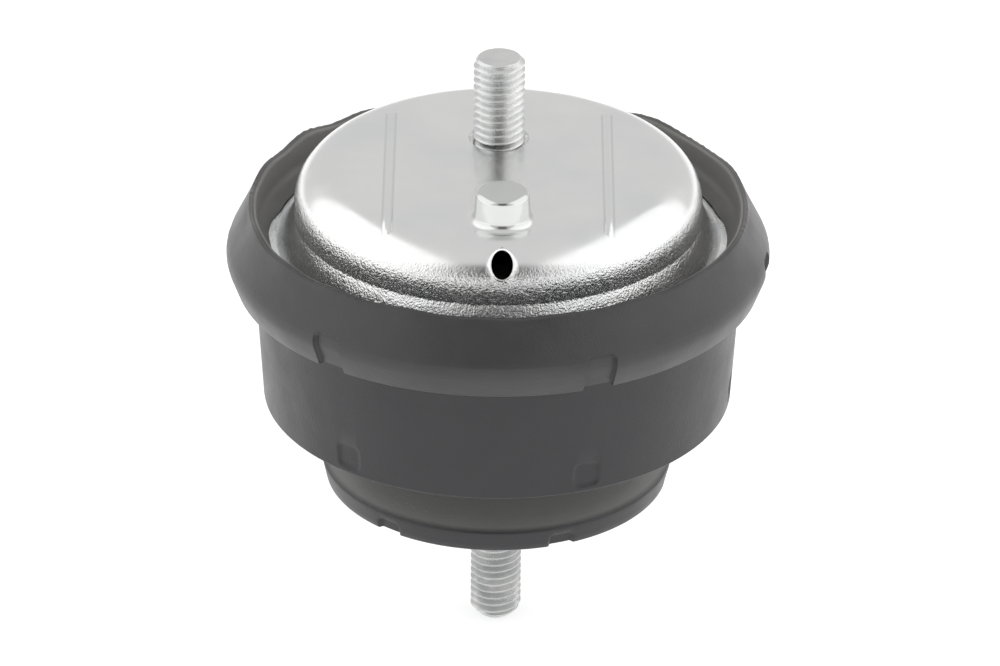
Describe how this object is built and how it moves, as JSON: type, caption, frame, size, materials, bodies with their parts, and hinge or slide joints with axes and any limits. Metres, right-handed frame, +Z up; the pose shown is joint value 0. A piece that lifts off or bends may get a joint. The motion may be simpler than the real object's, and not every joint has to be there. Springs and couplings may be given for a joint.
{
  "type": "hydraulic engine mount",
  "caption": "Round fluid-damped rubber engine mount with a threaded stud above and below, a drawn steel top pan with locating nipple and a moulded rubber collar.",
  "frame": {"origin": "centre of the lower seat face, on the lower stud's axis", "axes": "+Z up along the mount's axis towards the upper stud, -Y towards the side with the locating nipple and the vent hole"},
  "size_m": [0.1052, 0.1052, 0.1166],
  "materials": {
    "zinc_plated_pan": "bright zinc-plated deep-drawn steel, satin-gloss with fine orange peel",
    "plated_stud": "zinc-plated steel",
    "galvanised_casing": "galvanised sheet steel",
    "moulded_rubber": "moulded natural rubber, satin dark grey",
    "cast_core": "as-cast aluminium",
    "membrane_rubber": "thin moulded rubber, matt",
    "track_plate": "stamped steel",
    "cast_track": "die-cast aluminium",
    "rivet_metal": "drawn aluminium"
  },
  "bodies": {
    "root": {"cover_pan": "zinc_plated_pan", "upper_stud": "plated_stud", "lower_stud": "plated_stud", "casing": "galvanised_casing", "rubber_body": "moulded_rubber", "inner_core": "cast_core", "diaphragm": "membrane_rubber", "track_cover": "track_plate", "track_carrier": "cast_track", "decoupler": "membrane_rubber", "track_rivet_1": "rivet_metal", "track_rivet_2": "rivet_metal", "track_rivet_3": "rivet_metal"}
  },
  "joints": []
}
